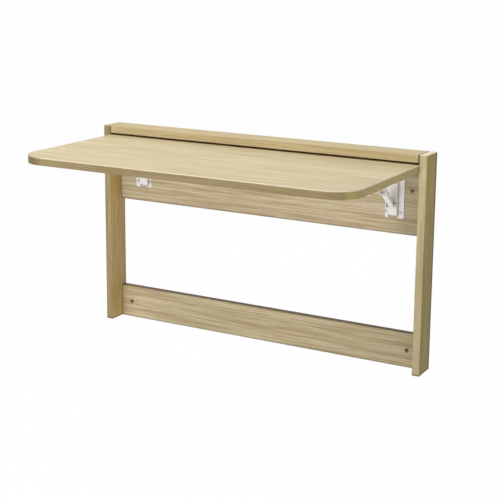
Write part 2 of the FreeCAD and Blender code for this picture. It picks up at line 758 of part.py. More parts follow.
def middle_pivot(side, way):
    """The brace's middle pivot: a bush through the link and a rivet head in each bar of the fork."""
    x = f"{way} * bracket_x"
    bush = cylinder(side + "_middle_bush", "brace_pin_radius", "2 * link_half_width",
                    f"{x} - link_half_width", "middle_y", "middle_z", "X")
    keep(bush, side + "_middle_bush")
    ends = []
    for axis, sign in (("X", "+"), ("-X", "-")):
        inner = f"{x} {sign} fork_half_gap"
        outer = f"{x} {sign} fork_half_reach"
        stub = cylinder(side + "_middle_stub", "brace_pin_radius", "steel",
                        inner, "middle_y", "middle_z", axis)
        head = crowned_head(side + "_middle_head", "brace_head_radius", RIVET_CROWN_SHARE,
                            "pin_head_height", outer, "middle_y", "middle_z", axis)
        ends.append(joined("Fuse", side + "_middle_end", stub, head))
    keep(compound(side + "_middle_rivet", ends), side + "_middle_rivet")


def release_lever(side, way):
    """A release lever on its own pin in the arm, with a finger tab below the arm."""
    x = f"{way} * bracket_x"
    body = new_body(side + "_release_lever")
    tab_top = "(tab_low + lever_tab_height)"
    blade = [
        ("lever_y + lever_eye", "lever_z"), ("lever_y", "lever_z + lever_eye"), ("tab_y", "lever_z"),
        ("tab_y - steel", tab_top), ("tab_y - steel", "tab_low"), ("tab_y", "tab_low"), ("tab_y", tab_top),
    ]
    pad_polygon(body, "YZ", blade, "2 * lever_half_width", midplane=True)
    pad_circles(body, "YZ", [("lever_y", "lever_z", "lever_eye")], "2 * lever_half_width", midplane=True)
    tab = rectangle("-lever_tab_half_width", "lever_tab_half_width", "tab_low", tab_top)
    finger = pad_polygon(body, "XZ", tab, "steel", "-tab_y")
    doc.recompute()
    corners = edges_along(finger, Y_AXIS, lambda middle: near(abs(middle.x), sheet.lever_tab_half_width))
    fillet(body, finger, corners, "flange_corner")
    cut_circles(body, "YZ", [("lever_y", "lever_z", "lever_pin_radius + pin_room")],
                "2 * lever_half_width + overrun", midplane=True)
    place(body, x)
    keep(body, side + "_release_lever")
    pin = rivet(side + "_lever_pin", "arm_half_width", "lever_pin_radius", "brace_head_radius",
                x, "lever_y", "lever_z")
    keep(pin, side + "_lever_pin")
    # The torsion springs beside the lever are plain sleeves as thick as their wire
    ring_pair(side + "_lever_springs", "lever_pin_radius", "spring_wire",
              "lever_half_width", "arm_half_gap", x, "lever_y", "lever_z")


def screw(name, x, y, z, shank_axis, head_axis):
    """A pan-head wood screw: its head lies on the steel and its shank runs into the board."""
    shank = cylinder(name + "_shank", "screw_radius", "screw_length", x, y, z, shank_axis)
    head = crowned_head(name + "_head", "screw_head_radius", SCREW_CROWN_SHARE, "screw_head_height",
                        x, y, z, head_axis)
    return joined("Fuse", name, shank, head)


def bracket_screws(side, way):
    """Wood screws of one bracket: four into the rail and four into the leaf."""
    leg = [screw(side + "_leg_screw", f"{way} * (bracket_x + {x})", "-board - steel", z, "Y", "-Y")
           for x, z in LEG_SCREWS]
    keep(compound(side + "_leg_screws", leg), side + "_leg_screws")
    arm = [screw(side + "_arm_screw", f"{way} * (bracket_x + {x})", y, "leaf_under - steel", "Z", "-Z")
           for x, y in ARM_SCREWS]
    keep(compound(side + "_arm_screws", arm), side + "_arm_screws")


for side, way in SIDES:
    post(side, way)
cap_board()
back_rail()
bottom_rail()
dowels()
knock_down_fittings()
leaf()
for side, way in SIDES:
    wall_leg(side, way)
    shelf_arm(side, way)
    brace_fork(side, way)
    brace_link(side, way)
    bracket_pins(side, way)
    middle_pivot(side, way)
    release_lever(side, way)
    bracket_screws(side, way)
doc.recompute()

for thing in doc.Objects:
    if "Invalid" in thing.State or "Error" in thing.State:
        raise RuntimeError(f"{thing.Label} failed: {thing.State}")
for thing in PARTS:
    if thing.Shape.isNull() or not thing.Shape.isValid():
        raise RuntimeError(f"{thing.Label} has no valid shape")
for thing in PARTS:
    thing.Shape.exportStep(f"parts/{thing.Label}.step")
    box = thing.Shape.BoundBox
    spans = ((box.XMin, box.XMax), (box.YMin, box.YMax), (box.ZMin, box.ZMax))
    reach = ", ".join(f"{axis} {low:.1f}..{high:.1f}" for axis, (low, high) in zip("xyz", spans))
    print(f"{thing.Label}: {len(thing.Shape.Solids)} solids, {thing.Shape.Volume:.0f} mm3, {reach}")
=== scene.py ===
"""Looks of the wall-mounted folding table: laminated boards and two white folding brackets."""
import math

import bmesh
import bpy
from mathutils import Matrix, Vector


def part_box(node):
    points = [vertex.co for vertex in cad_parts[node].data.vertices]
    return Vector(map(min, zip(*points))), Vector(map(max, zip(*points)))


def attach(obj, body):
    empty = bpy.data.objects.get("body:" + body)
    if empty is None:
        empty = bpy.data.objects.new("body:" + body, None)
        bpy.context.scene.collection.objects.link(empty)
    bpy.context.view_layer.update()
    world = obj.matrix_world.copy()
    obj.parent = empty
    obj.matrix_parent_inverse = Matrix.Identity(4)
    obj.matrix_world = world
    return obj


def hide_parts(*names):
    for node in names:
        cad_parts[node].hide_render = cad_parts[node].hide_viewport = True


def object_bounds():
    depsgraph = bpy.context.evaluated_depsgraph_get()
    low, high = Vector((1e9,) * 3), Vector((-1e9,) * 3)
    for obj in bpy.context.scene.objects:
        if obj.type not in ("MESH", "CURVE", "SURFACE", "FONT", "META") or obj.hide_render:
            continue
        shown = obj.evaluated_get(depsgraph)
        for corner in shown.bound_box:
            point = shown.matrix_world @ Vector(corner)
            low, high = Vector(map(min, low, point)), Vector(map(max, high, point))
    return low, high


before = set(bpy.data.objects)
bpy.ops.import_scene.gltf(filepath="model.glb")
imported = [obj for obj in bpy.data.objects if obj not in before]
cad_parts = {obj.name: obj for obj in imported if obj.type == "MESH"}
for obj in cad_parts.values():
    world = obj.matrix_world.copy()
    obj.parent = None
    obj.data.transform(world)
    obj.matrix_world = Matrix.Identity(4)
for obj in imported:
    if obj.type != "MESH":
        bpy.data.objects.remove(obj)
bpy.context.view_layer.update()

MM = 0.001
SIDES = (("left", -1), ("right", 1))
X_AXIS, Y_AXIS, Z_AXIS = range(3)
NEAR, BOTH, FAR = -1, 0, 1

# Camera, fitted to the edges of the frame and the leaf in the 500 x 500 picture
PICTURE = 500
FOCAL_PIXELS = 1191.2
AXIS_PIXEL_Y = 190.0
CAMERA_PLACE = Vector((1292.5, -2403.0, 693.8)) * MM
CAMERA_YAW = math.radians(29.05)
CAMERA_PITCH = math.radians(11.46)
CAMERA_ROLL = math.radians(0.49)
SENSOR = 36.0
CLIP_START = 0.05
CLIP_END = 200.0

# Screws and springs of one bracket, in millimetres from its centre line and the frame's origin
LEG_SCREWS = ((18.25, 130.75), (18.25, 204.75), (-15.25, 130.75), (-15.25, 204.75))
LEG_STEEL_Y = -18.5
LEG_FIRST_SPIN = 25.0
LEG_SPIN_STEP = 37.0
ARM_SCREWS = (-42.0, -110.0, -142.0, -172.0)
ARM_STEEL_Z = 228.25
ARM_FIRST_SPIN = 10.0
ARM_SPIN_STEP = 53.0
SCREW_SEGMENTS = 24
SCREW_TIP = ((0.2, -13.0), (0.9, -11.6))
SCREW_HEAD = ((1.65, -0.6), (1.65, 0.0), (3.5, 0.0), (3.47, 0.5), (3.3, 1.1), (3.0, 1.6), (2.63, 2.0))
THREAD_ROOT = 1.2
THREAD_CREST = 1.68
THREAD_START = -11.0
THREAD_PITCH = 1.2
THREAD_TURNS = 8
THREAD_RISE_SHARE = 0.45
RECESS_ARM = 1.6
RECESS_HALF_WIDTH = 0.42
RECESS_DEPTH = 1.2
RECESS_FLOOR_SHARE = 0.55
SPRING_WIRE = 0.45
SPRING_RADIUS = 2.5
SPRING_INNER = 4.2
SPRING_OUTER = 12.5
SPRING_START = math.radians(-73.0)
SPRING_TURNS = 8
SPRING_LEG = 7.0
SPRING_STEPS = 18
WIRE_SEGMENTS = 8
SMOOTH_ANGLE = math.radians(38.0)

# Base colours, linear
WHITE = (1.0, 1.0, 1.0, 1.0)
OAK_LIGHT = (0.66, 0.53, 0.335, 1.0)
OAK_MID = (0.58, 0.45, 0.268, 1.0)
OAK_DARK = (0.42, 0.30, 0.160, 1.0)
OAK_PORE = (0.30, 0.20, 0.10, 1.0)
# Raw board in the screw holes with their painted shade, and painted shade at the leaf's tip
BORE_AND_SHADE_DARK = (0.12, 0.075, 0.03, 1.0)
# Pale colour of worn edges, and of the painted highlights on the boards
WORN_EDGE_AND_HIGHLIGHT = (0.86, 0.76, 0.57, 1.0)
SHADE_LINE = (0.10, 0.07, 0.03, 1.0)
PAINT_WHITE = (0.87, 0.86, 0.85, 1.0)
PAINT_CLOUD = (0.82, 0.81, 0.80, 1.0)
PAINT_GREY = (0.66, 0.65, 0.64, 1.0)
# Painted shade deep in the crevices of the painted steel
PAINT_CREVICE_SHADE = (0.28, 0.27, 0.25, 1.0)
ZINC_LIGHT = (0.76, 0.76, 0.74, 1.0)
ZINC_DARK = (0.52, 0.52, 0.51, 1.0)
CAST_LIGHT = (0.5, 0.5, 0.49, 1.0)
CAST_DARK = (0.33, 0.33, 0.32, 1.0)
BEECH_LIGHT = (0.60, 0.42, 0.25, 1.0)
BEECH_DARK = (0.45, 0.29, 0.16, 1.0)
FLOOR_COLOUR = (0.86, 0.86, 0.86, 1.0)

# Wood figure: waves per metre along and across the grain, then detail, roughness and distortion
BANDS = (0.9, 15.0, 3.0, 0.5, 0.4)
STREAKS = (5.0, 170.0, 6.0, 0.62, 0.35)
LINES = (12.0, 420.0, 4.0, 0.6, 0.1)
FIBRES = (16.0, 900.0, 5.0, 0.6, 0.0)
PORES = (42.0, 1500.0, 2.0, 0.5, 0.0)

# Where on a noise the colour or the grey level of a layer starts and ends
BAND_STOPS = ((0.30, OAK_MID), (0.70, OAK_LIGHT))
STREAK_LEVELS = ((0.40, 1.0), (0.58, 0.0))
LINE_LEVELS = ((0.36, 1.0), (0.48, 0.0))
FIBRE_LEVELS = ((0.3, 0.93), (0.7, 1.05))
PORE_LEVELS = ((0.30, 0.55), (0.37, 0.0))
WOOD_ROUGHNESS = ((0.35, 0.52), (0.65, 0.44))
FRONT_FACING = (0.6, 0.8)
LINE_SHARE = 0.8
STREAK_RELIEF_SHARE = 0.5
WOOD_WORN_SHARE = 0.12
WOOD_SPECULAR = 0.22
WOOD_EDGE = (0.0007, 0.5)
WOOD_RELIEF = (0.18, 0.0002)

# Noise of the other surfaces: waves per metre on each axis, then detail and roughness
PAINT_CLOUDS = ((28.0, 28.0, 28.0), 4.0, 0.5)
PAINT_PEEL = ((900.0, 900.0, 900.0), 2.0, 0.5)
METAL_CLOUDS = ((160.0, 160.0, 160.0), 5.0, 0.6)
METAL_SCRATCHES = ((90.0, 2200.0, 2200.0), 3.0, 0.6)
BEECH_STREAKS = ((20.0, 500.0, 500.0), 5.0, 0.6)
PAINT_STOPS = ((0.30, PAINT_CLOUD), (0.60, PAINT_WHITE))
PAINT_ROUGHNESS = ((0.3, 0.40), (0.7, 0.30))
BEECH_STOPS = ((0.35, BEECH_DARK), (0.65, BEECH_LIGHT))
BEECH_ROUGHNESS = ((0.3, 0.75), (0.7, 0.6))
PAINT_WORN_SHARE = 0.4
PAINT_CREVICE_SHADE_SHARE = 0.9
PAINT_SPECULAR = 0.5
PAINT_COAT = 0.25
PAINT_COAT_ROUGHNESS = 0.2
ZINC_ROUGHNESS = 0.32
SCREW_ROUGHNESS = 0.38
CAST_ROUGHNESS = 0.5
METAL_SPREAD = 0.08
METAL_STOPS = (0.3, 0.65)
METAL_ROUGH_STOPS = (0.3, 0.7)

# Radius in metres and how far the normal turns at a worn edge; strength and metres of a relief
PAINT_EDGE = (0.0004, 0.6)
PAINT_RELIEF = (0.12, 0.0001)
METAL_RELIEF = (0.15, 0.00005)
BEECH_RELIEF = (0.3, 0.0001)
EDGE_SAMPLES = 6
CREVICE_SAMPLES = 8
CREVICE_REACH = 0.007
CREVICE_FADE = (0.85, 0.25)

# How much of a shade's width fades out, at one end of a board and at both
ONE_END_FADE_SHARE = 1 / 2
BOTH_ENDS_FADE_SHARE = 1 / 3
HOLE_INSET = 30 * MM
# Dark of the bottom rail's screw holes: raw board and painted shade
HOLE_SHADE = (2.6 * MM, 5.2 * MM, 0.5)
# Painted shade at the leaf's left front corner, where its edge band turns from the light
LEAF_TIP_SHADE = (36 * MM, 78 * MM, 0.65)

# Floor, world and lamps: place, aim, width and height in metres, and watts
FLOOR_SIZE = 40.0
FLOOR_DROP = 0.30
FLOOR_ROUGHNESS = 0.9
FLOOR_WHITE_SHARE = 0.98
WORLD_WHITE_SHARE = 1.0
WORLD_STRENGTH = 0.32
OBJECT_MIDDLE = (0.0, 0.0, 0.1)
LAMPS = (
    ("key", (-0.7, -1.2, 2.6), (0.0, -0.1, 0.0), 1.4, 1.4, 60.0),
    ("front", (-0.3, -3.0, -0.5), OBJECT_MIDDLE, 2.2, 1.2, 62.0),
    ("back", (-0.9, 2.4, 1.3), OBJECT_MIDDLE, 1.6, 1.2, 26.0),
    ("side", (2.6, -1.2, 0.6), OBJECT_MIDDLE, 1.4, 1.4, 10.0),
)


def new_material(name):
    """A material, its nodes and links, and its shader."""
    material = bpy.data.materials.new(name)
    material.use_nodes = True
    nodes = material.node_tree.nodes
    return material, nodes, material.node_tree.links, nodes["Principled BSDF"]


def add(nodes, kind, **settings):
    node = nodes.new(kind)
    for name, value in settings.items():
        setattr(node, name, value)
    return node


def stretched_noise(nodes, links, stretch, detail, rough, warp=0.0, shift=(0.0, 0.0, 0.0)):
    """Noise in the model's own metres, with its own number of waves per metre on each axis."""
    place = add(nodes, "ShaderNodeTexCoord")
    mapping = add(nodes, "ShaderNodeMapping")
    mapping.inputs["Scale"].default_value = stretch
    mapping.inputs["Location"].default_value = shift
    noise = add(nodes, "ShaderNodeTexNoise")
    noise.inputs["Scale"].default_value = 1.0
    noise.inputs["Detail"].default_value = detail
    noise.inputs["Roughness"].default_value = rough
    noise.inputs["Distortion"].default_value = warp
    links.new(place.outputs["Object"], mapping.inputs["Vector"])
    links.new(mapping.outputs["Vector"], noise.inputs["Vector"])
    return noise.outputs["Fac"]


def ramp(nodes, links, source, stops):
    """A colour ramp over a value; the two stops are (place, colour) pairs."""
    node = add(nodes, "ShaderNodeValToRGB")
    for element, (place, colour) in zip(node.color_ramp.elements, stops):
        element.position = place
        element.color = colour
    links.new(source, node.inputs["Fac"])
    return node.outputs["Color"]


def grey(level):
    return (level, level, level, 1.0)


def grey_ramp(nodes, links, source, levels):
    """A ramp of greys over a value; the two levels are (place, level) pairs."""
    return ramp(nodes, links, source, [(place, grey(level)) for place, level in levels])


def put(links, value, socket):
    """Link a socket into another, or set it to a plain value."""
    if isinstance(value, bpy.types.NodeSocket):
        links.new(value, socket)
    else:
        socket.default_value = value


def mix(nodes, links, factor, low, high, kind="MIX"):
    """Mix of two colours; a factor or colour may be a socket or a plain value."""
    node = add(nodes, "ShaderNodeMix", data_type="RGBA", blend_type=kind)
    put(links, factor, node.inputs[0])
    put(links, low, node.inputs[6])
    put(links, high, node.inputs[7])
    return node.outputs[2]


def product(nodes, links, first, second):
    """Product of two values; each may be a socket or a plain value."""
    node = add(nodes, "ShaderNodeMath", operation="MULTIPLY")
    put(links, first, node.inputs[0])
    put(links, second, node.inputs[1])
    return node.outputs[0]


def between(nodes, links, value, low, high):
    """0 at low and 1 at high, smooth between; low may lie above high."""
    node = add(nodes, "ShaderNodeMapRange", interpolation_type="SMOOTHSTEP")
    node.inputs["From Min"].default_value = min(low, high)
    node.inputs["From Max"].default_value = max(low, high)
    node.inputs["To Min"].default_value = 0.0 if low < high else 1.0
    node.inputs["To Max"].default_value = 1.0 if low < high else 0.0
    links.new(value, node.inputs["Value"])
    return node.outputs["Result"]


def edge_mask(nodes, links, radius, sharpness):
    """A mask, white where a surface turns over an edge within the radius, and the rounded normal."""
    bevel = add(nodes, "ShaderNodeBevel", samples=EDGE_SAMPLES)
    bevel.inputs["Radius"].default_value = radius
    geometry = add(nodes, "ShaderNodeNewGeometry")
    dot = add(nodes, "ShaderNodeVectorMath", operation="DOT_PRODUCT")
    links.new(bevel.outputs["Normal"], dot.inputs[0])
    links.new(geometry.outputs["True Normal"], dot.inputs[1])
    level = add(nodes, "ShaderNodeMapRange")
    level.inputs["From Min"].default_value = 1.0
    level.inputs["From Max"].default_value = 1.0 - sharpness
    links.new(dot.outputs["Value"], level.inputs["Value"])
    return level.outputs["Result"], bevel.outputs["Normal"]


def crevice_shade_mask(nodes, links, reach):
    """White deep in a crevice, where shade is painted, and black on open faces."""
    openness = add(nodes, "ShaderNodeAmbientOcclusion", samples=CREVICE_SAMPLES)
    openness.inputs["Distance"].default_value = reach
    return between(nodes, links, openness.outputs["AO"], *CREVICE_FADE)


def bump(nodes, links, height, strength, distance, normal=None):
    node = add(nodes, "ShaderNodeBump")
    node.inputs["Strength"].default_value = strength
    node.inputs["Distance"].default_value = distance
    links.new(height, node.inputs["Height"])
    if normal is not None:
        links.new(normal, node.inputs["Normal"])
    return node.outputs["Normal"]


def object_coordinates(nodes, links):
    """The place in the node's own frame and the size of its normal's parts, each as X, Y, Z sockets."""
    source = add(nodes, "ShaderNodeTexCoord")
    place = add(nodes, "ShaderNodeSeparateXYZ")
    links.new(source.outputs["Object"], place.inputs[0])
    whole = add(nodes, "ShaderNodeVectorMath", operation="ABSOLUTE")
    links.new(source.outputs["Normal"], whole.inputs[0])
    facing = add(nodes, "ShaderNodeSeparateXYZ")
    links.new(whole.outputs[0], facing.inputs[0])
    return place.outputs, facing.outputs


def distance_from(nodes, links, value, centre):
    offset = add(nodes, "ShaderNodeMath", operation="SUBTRACT")
    links.new(value, offset.inputs[0])
    offset.inputs[1].default_value = centre
    size = add(nodes, "ShaderNodeMath", operation="ABSOLUTE")
    links.new(offset.outputs[0], size.inputs[0])
    return size.outputs[0]


def reach_from(nodes, links, values, middles):
    """The distance of a place from a line, both given on the two axes across that line."""
    both = add(nodes, "ShaderNodeCombineXYZ")
    for value, middle, socket in zip(values, middles, both.inputs):
        links.new(distance_from(nodes, links, value, middle), socket)
    reach = add(nodes, "ShaderNodeVectorMath", operation="LENGTH")
    links.new(both.outputs[0], reach.inputs[0])
    return reach.outputs["Value"]


def wood(name, grain, shift, front_tone, side_shade_tone, contrast, fineness, shades=(), spots=()):
    """Pale oak laminate with its figure along one axis.

    Faces towards the room or the wall take the front tone and the others the side tone, which paints
    the shade of faces turned from the light; the front tone also paints light and shade on whole
    boards. A shade is an axis, a middle, an inner and an outer distance from it, and a strength: the
    board darkens with painted shade, or with a strength below zero lightens with a painted highlight,
    from the inner to the outer distance. A spot is two axes, its middle on each, an inner and an outer
    radius and a strength: it is dark inside with painted shade, which in a screw hole also stands for
    its raw board.
    """
    material, nodes, links, shader = new_material(name)

    def figure(layer, finer=1.0):
        length, across, detail, rough, warp = layer
        stretch = tuple(length if axis == grain else across * finer for axis in range(3))
        return stretched_noise(nodes, links, stretch, detail, rough, warp, shift)

    streaks = figure(STREAKS, fineness)
    streak_mask = grey_ramp(nodes, links, streaks, STREAK_LEVELS)
    line_mask = grey_ramp(nodes, links, figure(LINES, fineness), LINE_LEVELS)
    fibre_tone = grey_ramp(nodes, links, figure(FIBRES), FIBRE_LEVELS)
    pore_mask = grey_ramp(nodes, links, figure(PORES), PORE_LEVELS)
    base = ramp(nodes, links, figure(BANDS), BAND_STOPS)
    base = mix(nodes, links, product(nodes, links, streak_mask, contrast), base, OAK_DARK)
    base = mix(nodes, links, product(nodes, links, line_mask, LINE_SHARE * contrast), base, OAK_DARK)
    base = mix(nodes, links, 1.0, base, fibre_tone, "MULTIPLY")
    base = mix(nodes, links, pore_mask, base, OAK_PORE)

    place, facing = object_coordinates(nodes, links)
    # The side tone paints the shade of faces turned from the light
    front_mask = between(nodes, links, facing[Y_AXIS], *FRONT_FACING)
    tone = mix(nodes, links, front_mask, (*side_shade_tone, 1.0), (*front_tone, 1.0))
    base = mix(nodes, links, 1.0, base, tone, "MULTIPLY")
    # Painted shade, or a painted highlight where the strength is below zero
    for axis, middle, inner, outer, strength in shades:
        spread = distance_from(nodes, links, place[axis], middle)
        mask = product(nodes, links, between(nodes, links, spread, inner, outer), abs(strength))
        base = mix(nodes, links, mask, base, SHADE_LINE if strength > 0 else WORN_EDGE_AND_HIGHLIGHT)
    # Spots of painted shade, in the screw holes also the dark raw board
    for axes, middles, inner, outer, strength in spots:
        reach = reach_from(nodes, links, [place[axis] for axis in axes], middles)
        mask = product(nodes, links, between(nodes, links, reach, outer, inner), strength)
        base = mix(nodes, links, mask, base, BORE_AND_SHADE_DARK)
    worn, rounded = edge_mask(nodes, links, *WOOD_EDGE)
    base = mix(nodes, links, product(nodes, links, worn, WOOD_WORN_SHARE), base, WORN_EDGE_AND_HIGHLIGHT)
    links.new(base, shader.inputs["Base Color"])
    links.new(grey_ramp(nodes, links, streaks, WOOD_ROUGHNESS), shader.inputs["Roughness"])
    shader.inputs["Specular IOR Level"].default_value = WOOD_SPECULAR
    height = mix(nodes, links, STREAK_RELIEF_SHARE, fibre_tone, streak_mask)
    links.new(bump(nodes, links, height, *WOOD_RELIEF, rounded), shader.inputs["Normal"])
    return material


def paint(name):
    """White powder paint on pressed steel: a fine orange peel, greyed edges and painted shade in the
    crevices.
    """
    material, nodes, links, shader = new_material(name)
    cloud = stretched_noise(nodes, links, *PAINT_CLOUDS)
    peel = stretched_noise(nodes, links, *PAINT_PEEL)
    worn, rounded = edge_mask(nodes, links, *PAINT_EDGE)
    # Painted shade, darker deep in the crevices
    crevice_shade = product(nodes, links, crevice_shade_mask(nodes, links, CREVICE_REACH), PAINT_CREVICE_SHADE_SHARE)
    base = ramp(nodes, links, cloud, PAINT_STOPS)
    base = mix(nodes, links, product(nodes, links, worn, PAINT_WORN_SHARE), base, PAINT_GREY)
    base = mix(nodes, links, crevice_shade, base, PAINT_CREVICE_SHADE)
    links.new(base, shader.inputs["Base Color"])
    links.new(grey_ramp(nodes, links, cloud, PAINT_ROUGHNESS), shader.inputs["Roughness"])
    shader.inputs["Specular IOR Level"].default_value = PAINT_SPECULAR
    shader.inputs["Coat Weight"].default_value = PAINT_COAT
    shader.inputs["Coat Roughness"].default_value = PAINT_COAT_ROUGHNESS
    links.new(bump(nodes, links, peel, *PAINT_RELIEF, rounded), shader.inputs["Normal"])
    return material


def metal(name, light, dark, roughness):
    """Bright zinc with a brushed, slightly uneven tone."""
    material, nodes, links, shader = new_material(name)
    cloud = stretched_noise(nodes, links, *METAL_CLOUDS)
    scratch = stretched_noise(nodes, links, *METAL_SCRATCHES)
    levels = zip(METAL_ROUGH_STOPS, (roughness - METAL_SPREAD, roughness + METAL_SPREAD))
    links.new(ramp(nodes, links, cloud, zip(METAL_STOPS, (dark, light))), shader.inputs["Base Color"])
    links.new(grey_ramp(nodes, links, scratch, levels), shader.inputs["Roughness"])
    shader.inputs["Metallic"].default_value = 1.0
    links.new(bump(nodes, links, scratch, *METAL_RELIEF), shader.inputs["Normal"])
    return material


def beech(name):
    """Plain beech of the dowels."""
    material, nodes, links, shader = new_material(name)
    streaks = stretched_noise(nodes, links, *BEECH_STREAKS)
    links.new(ramp(nodes, links, streaks, BEECH_STOPS), shader.inputs["Base Color"])
    links.new(grey_ramp(nodes, links, streaks, BEECH_ROUGHNESS), shader.inputs["Roughness"])
    links.new(bump(nodes, links, streaks, *BEECH_RELIEF), shader.inputs["Normal"])
    return material


def middle_of(node, axis):
    """The middle and the half length of a node along one axis."""
    low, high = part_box(node)
    return (low[axis] + high[axis]) / 2, (high[axis] - low[axis]) / 2


def shades_of(node, *rows):
    """Painted shades and highlights at the ends of a node; a row is an axis, its end, a width in
    millimetres and a strength.
    """
    shades = []
    for axis, end, width, strength in rows:
        middle, half = middle_of(node, axis)
        width *= MM
        if end == BOTH:
            fade = width * BOTH_ENDS_FADE_SHARE
            shades.append((axis, middle, half - width, half - fade, strength))
        else:
            fade = width * ONE_END_FADE_SHARE
            shades.append((axis, middle - end * half, 2 * half - width, 2 * half - fade, strength))
    return shades


HOLE_X = middle_of("bottom_rail", X_AXIS)[1] - HOLE_INSET
HOLE_Z = middle_of("bottom_rail", Z_AXIS)[0]
LEAF_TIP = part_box("leaf_edge_band")[0][:2]

# The shades here paint light and shade: shade lines along the posts' back, bottom and outer edges and the
# rails' lower edges, shade where the cap and rails meet the posts, shadow on the back rail beside the right
# post and on the back of the edge band beside the posts, the right post darker towards the bottom, and
# highlights on the post tops and along the edge band's top. Besides, the bottom rail is darker towards its
# right end.
WOODS = {
    "left_post": wood(
        "oak_left_post", Z_AXIS, shift=(3.1, 0.7, 0.2), contrast=0.50, fineness=0.6,
        front_tone=(0.59, 0.59, 0.49), side_shade_tone=(0.96, 0.90, 0.59),
        shades=shades_of("left_post", (Y_AXIS, FAR, 4, 0.55), (Z_AXIS, FAR, 1, -0.2),
                         (Z_AXIS, NEAR, 5, 0.6), (X_AXIS, NEAR, 4, 0.25))),
    "right_post": wood(
        "oak_right_post", Z_AXIS, shift=(7.4, 1.9, 5.2), contrast=0.50, fineness=0.6,
        front_tone=(1.04, 1.12, 1.07), side_shade_tone=(0.61, 0.58, 0.21),
        shades=shades_of("right_post", (Y_AXIS, FAR, 12, 0.7), (Z_AXIS, NEAR, 5, 0.6),
                         (Z_AXIS, FAR, 1, -0.8), (Z_AXIS, NEAR, 400, 0.20))),
    "cap_board": wood(
        "oak_cap", X_AXIS, shift=(2.2, 8.5, 4.1), contrast=0.40, fineness=1.2,
        front_tone=(1.11, 1.16, 1.09), side_shade_tone=(0.88, 0.90, 0.76),
        shades=shades_of("cap_board", (X_AXIS, BOTH, 5, 1.0))),
    "back_rail": wood(
        "oak_back_rail", X_AXIS, shift=(9.3, 2.8, 6.6), contrast=1.0, fineness=1.5,
        front_tone=(1.11, 1.21, 1.38), side_shade_tone=(0.5, 0.42, 0.28),
        shades=shades_of("back_rail", (X_AXIS, BOTH, 4, 0.6), (X_AXIS, FAR, 80, 0.25),
                         (Z_AXIS, NEAR, 4, 0.5))),
    "bottom_rail": wood(
        "oak_bottom_rail", X_AXIS, shift=(5.7, 6.1, 1.3), contrast=1.0, fineness=1.5,
        front_tone=(0.99, 1.06, 1.12), side_shade_tone=(0.25, 0.18, 0.05),
        shades=shades_of("bottom_rail", (X_AXIS, BOTH, 4, 0.6), (X_AXIS, FAR, 300, 0.10),
                         (Z_AXIS, NEAR, 4, 0.4)),
        spots=[((X_AXIS, Z_AXIS), (sign * HOLE_X, HOLE_Z), *HOLE_SHADE) for _, sign in SIDES]),
    "leaf_panel": wood(
        "oak_leaf", X_AXIS, shift=(1.4, 4.4, 9.9), contrast=0.60, fineness=1.0,
        front_tone=(1.04, 1.12, 1.15), side_shade_tone=(1.04, 1.12, 1.15)),
    "leaf_edge_band": wood(
        "oak_edge_band", X_AXIS, shift=(6.2, 3.3, 7.7), contrast=0.45, fineness=1.0,
        front_tone=(0.51, 0.50, 0.42), side_shade_tone=(0.78, 0.78, 0.52),
        shades=shades_of("leaf_edge_band", (Z_AXIS, FAR, 2.4, -0.85), (Y_AXIS, FAR, 47, 0.7)),
        spots=[((X_AXIS, Y_AXIS), LEAF_TIP, *LEAF_TIP_SHADE)]),
}
WHITE_PAINT = paint("white_paint")
ZINC = metal("zinc", ZINC_LIGHT, ZINC_DARK, ZINC_ROUGHNESS)
ZINC_CAST = metal("zinc_cast", CAST_LIGHT, CAST_DARK, CAST_ROUGHNESS)
ZINC_SCREW = metal("zinc_screw", ZINC_LIGHT, ZINC_DARK, SCREW_ROUGHNESS)
BEECH = beech("beech")


def finish_of(node):
    if node in WOODS:
        return WOODS[node]
    if node == "dowels":
        return BEECH
    if node in ("cam_bolts", "cam_locks"):
        return ZINC_CAST
    if node.endswith(("_washers", "_bushes", "_screws", "_springs")):
        return ZINC
    return WHITE_PAINT


def finish_nodes():
    """Give every node of the frame its own material."""
    for name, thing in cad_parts.items():
        material = finish_of(name)
        if not thing.data.materials:
            thing.data.materials.append(material)
        for slot in thing.material_slots:
            slot.material = material


def finish_piece(name, work, body, node, material):
    """Turn mesh work into an object that rides on a body and stands for a CAD node."""
    bmesh.ops.recalc_face_normals(work, faces=work.faces)
    for face in work.faces:
        face.smooth = True
    for edge in work.edges:
        edge.smooth = edge.calc_face_angle(0.0) < SMOOTH_ANGLE
    mesh = bpy.data.meshes.new(name)
    work.to_mesh(mesh)
    work.free()
    mesh.materials.append(material)
    piece = bpy.data.objects.new(name, mesh)
    bpy.context.scene.collection.objects.link(piece)
    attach(piece, body)
    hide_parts(node)


def circle(count):
    """Cosine and sine of equal steps round a circle."""
    angles = [2 * math.pi * step / count for step in range(count)]
    return [(math.cos(angle), math.sin(angle)) for angle in angles]


def join_rings(work, low, high):
    """Faces between two closed rings of the same number of corners."""
    for step in range(len(low)):
        after = (step + 1) % len(low)
        work.faces.new((low[step], low[after], high[after], high[step]))


def add_rings(work, rings):
    """Skin between rings of points; both ends stay open. Returns each ring's corners."""
    corners = [[work.verts.new(point) for point in ring] for ring in rings]
    for low, high in zip(corners, corners[1:]):
        join_rings(work, low, high)
    return corners


def loop_edges(work, corners):
    """The edges round a closed ring of corners, made where there are none."""
    edges = []
    for first, second in zip(corners, corners[1:] + corners[:1]):
        edges.append(work.edges.get((first, second)) or work.edges.new((first, second)))
    return edges


def screw_profile():
    """Radius and height of a screw's outline, from its tip to the top of its head."""
    profile = list(SCREW_TIP)
    for turn in range(THREAD_TURNS):
        profile.append((THREAD_ROOT, THREAD_START + turn * THREAD_PITCH))
        profile.append((THREAD_CREST, THREAD_START + (turn + THREAD_RISE_SHARE) * THREAD_PITCH))
    return profile + list(SCREW_HEAD)


